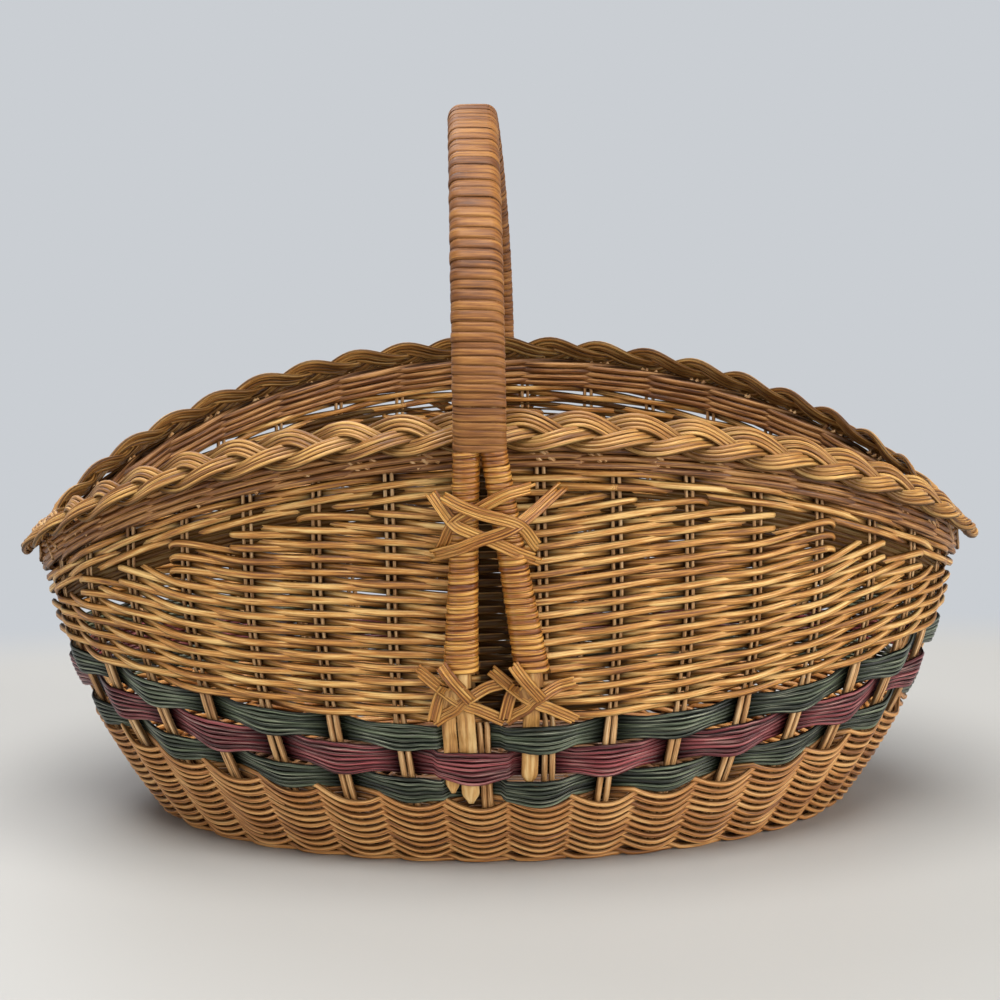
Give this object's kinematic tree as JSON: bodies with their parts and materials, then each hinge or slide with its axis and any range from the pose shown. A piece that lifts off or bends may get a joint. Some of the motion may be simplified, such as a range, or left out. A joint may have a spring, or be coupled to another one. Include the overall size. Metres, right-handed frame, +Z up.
{
  "type": "harvest basket",
  "caption": "Oval woven harvest basket with coloured ribbons, a plaited border rising over the long sides, and a fixed wrapped bow handle.",
  "frame": {"origin": "on the table under the middle of the basket, at the centre of the bounding box's underside", "axes": "+X along the basket, +Y from the front to the back along the handle's arch, +Z up"},
  "size_m": [0.4503, 0.3376, 0.325],
  "materials": {
    "stained_reed": "honey-brown stained round reed with fine grain, under satin varnish",
    "stake_reed": "paler tan round reed with fine grain, satin",
    "green_reed": "round reed stained grey-green, worn lighter on its ridges, satin",
    "maroon_reed": "round reed stained dull maroon, worn lighter on its ridges, satin",
    "border_reed": "golden-brown stained round reed in flat bundles, satin varnish",
    "handle_rod": "bent hardwood rod, bare and pale where its flat ends show, satin",
    "wrapping_reed": "flat reed stained reddish brown and varnished, glossier on the handle"
  },
  "bodies": {
    "root": {"stake_pair_01": "stake_reed", "stake_pair_02": "stake_reed", "stake_pair_03": "stake_reed", "stake_pair_04": "stake_reed", "stake_pair_05": "stake_reed", "stake_pair_06": "stake_reed", "stake_pair_07": "stake_reed", "stake_pair_08": "stake_reed", "stake_pair_09": "stake_reed", "stake_pair_10": "stake_reed", "stake_pair_11": "stake_reed", "stake_pair_12": "stake_reed", "stake_pair_13": "stake_reed", "stake_pair_14": "stake_reed", "stake_pair_15": "stake_reed", "stake_pair_16": "stake_reed", "stake_pair_17": "stake_reed", "stake_pair_18": "stake_reed", "stake_pair_19": "stake_reed", "stake_pair_20": "stake_reed", "stake_pair_21": "stake_reed", "stake_pair_22": "stake_reed", "stake_pair_23": "stake_reed", "stake_pair_24": "stake_reed", "stake_pair_25": "stake_reed", "stake_pair_26": "stake_reed", "stake_pair_27": "stake_reed", "stake_pair_28": "stake_reed", "stake_pair_29": "stake_reed", "stake_pair_30": "stake_reed", "stake_pair_31": "stake_reed", "stake_pair_32": "stake_reed", "stake_pair_33": "stake_reed", "stake_pair_34": "stake_reed", "stake_pair_35": "stake_reed", "stake_pair_36": "stake_reed", "foot_wale": "stained_reed", "lower_weave_1": "stained_reed", "lower_weave_2": "stained_reed", "upper_green_ribbon": "green_reed", "maroon_ribbon": "maroon_reed", "lower_green_ribbon": "green_reed", "upper_weave_1": "stained_reed", "upper_weave_2": "stained_reed", "upper_weave_3": "stained_reed", "upper_weave_4": "stained_reed", "top_wale": "stained_reed", "base": "stained_reed", "border_strand_1": "border_reed", "border_strand_2": "border_reed", "border_strand_3": "border_reed", "handle_rod_left": "handle_rod", "handle_rod_right": "handle_rod", "bow_wrap": "wrapping_reed", "front_left_leg_wrap": "wrapping_reed", "front_right_leg_wrap": "wrapping_reed", "back_left_leg_wrap": "wrapping_reed", "back_right_leg_wrap": "wrapping_reed", "front_star_lashing": "wrapping_reed", "back_star_lashing": "wrapping_reed"}
  },
  "joints": []
}
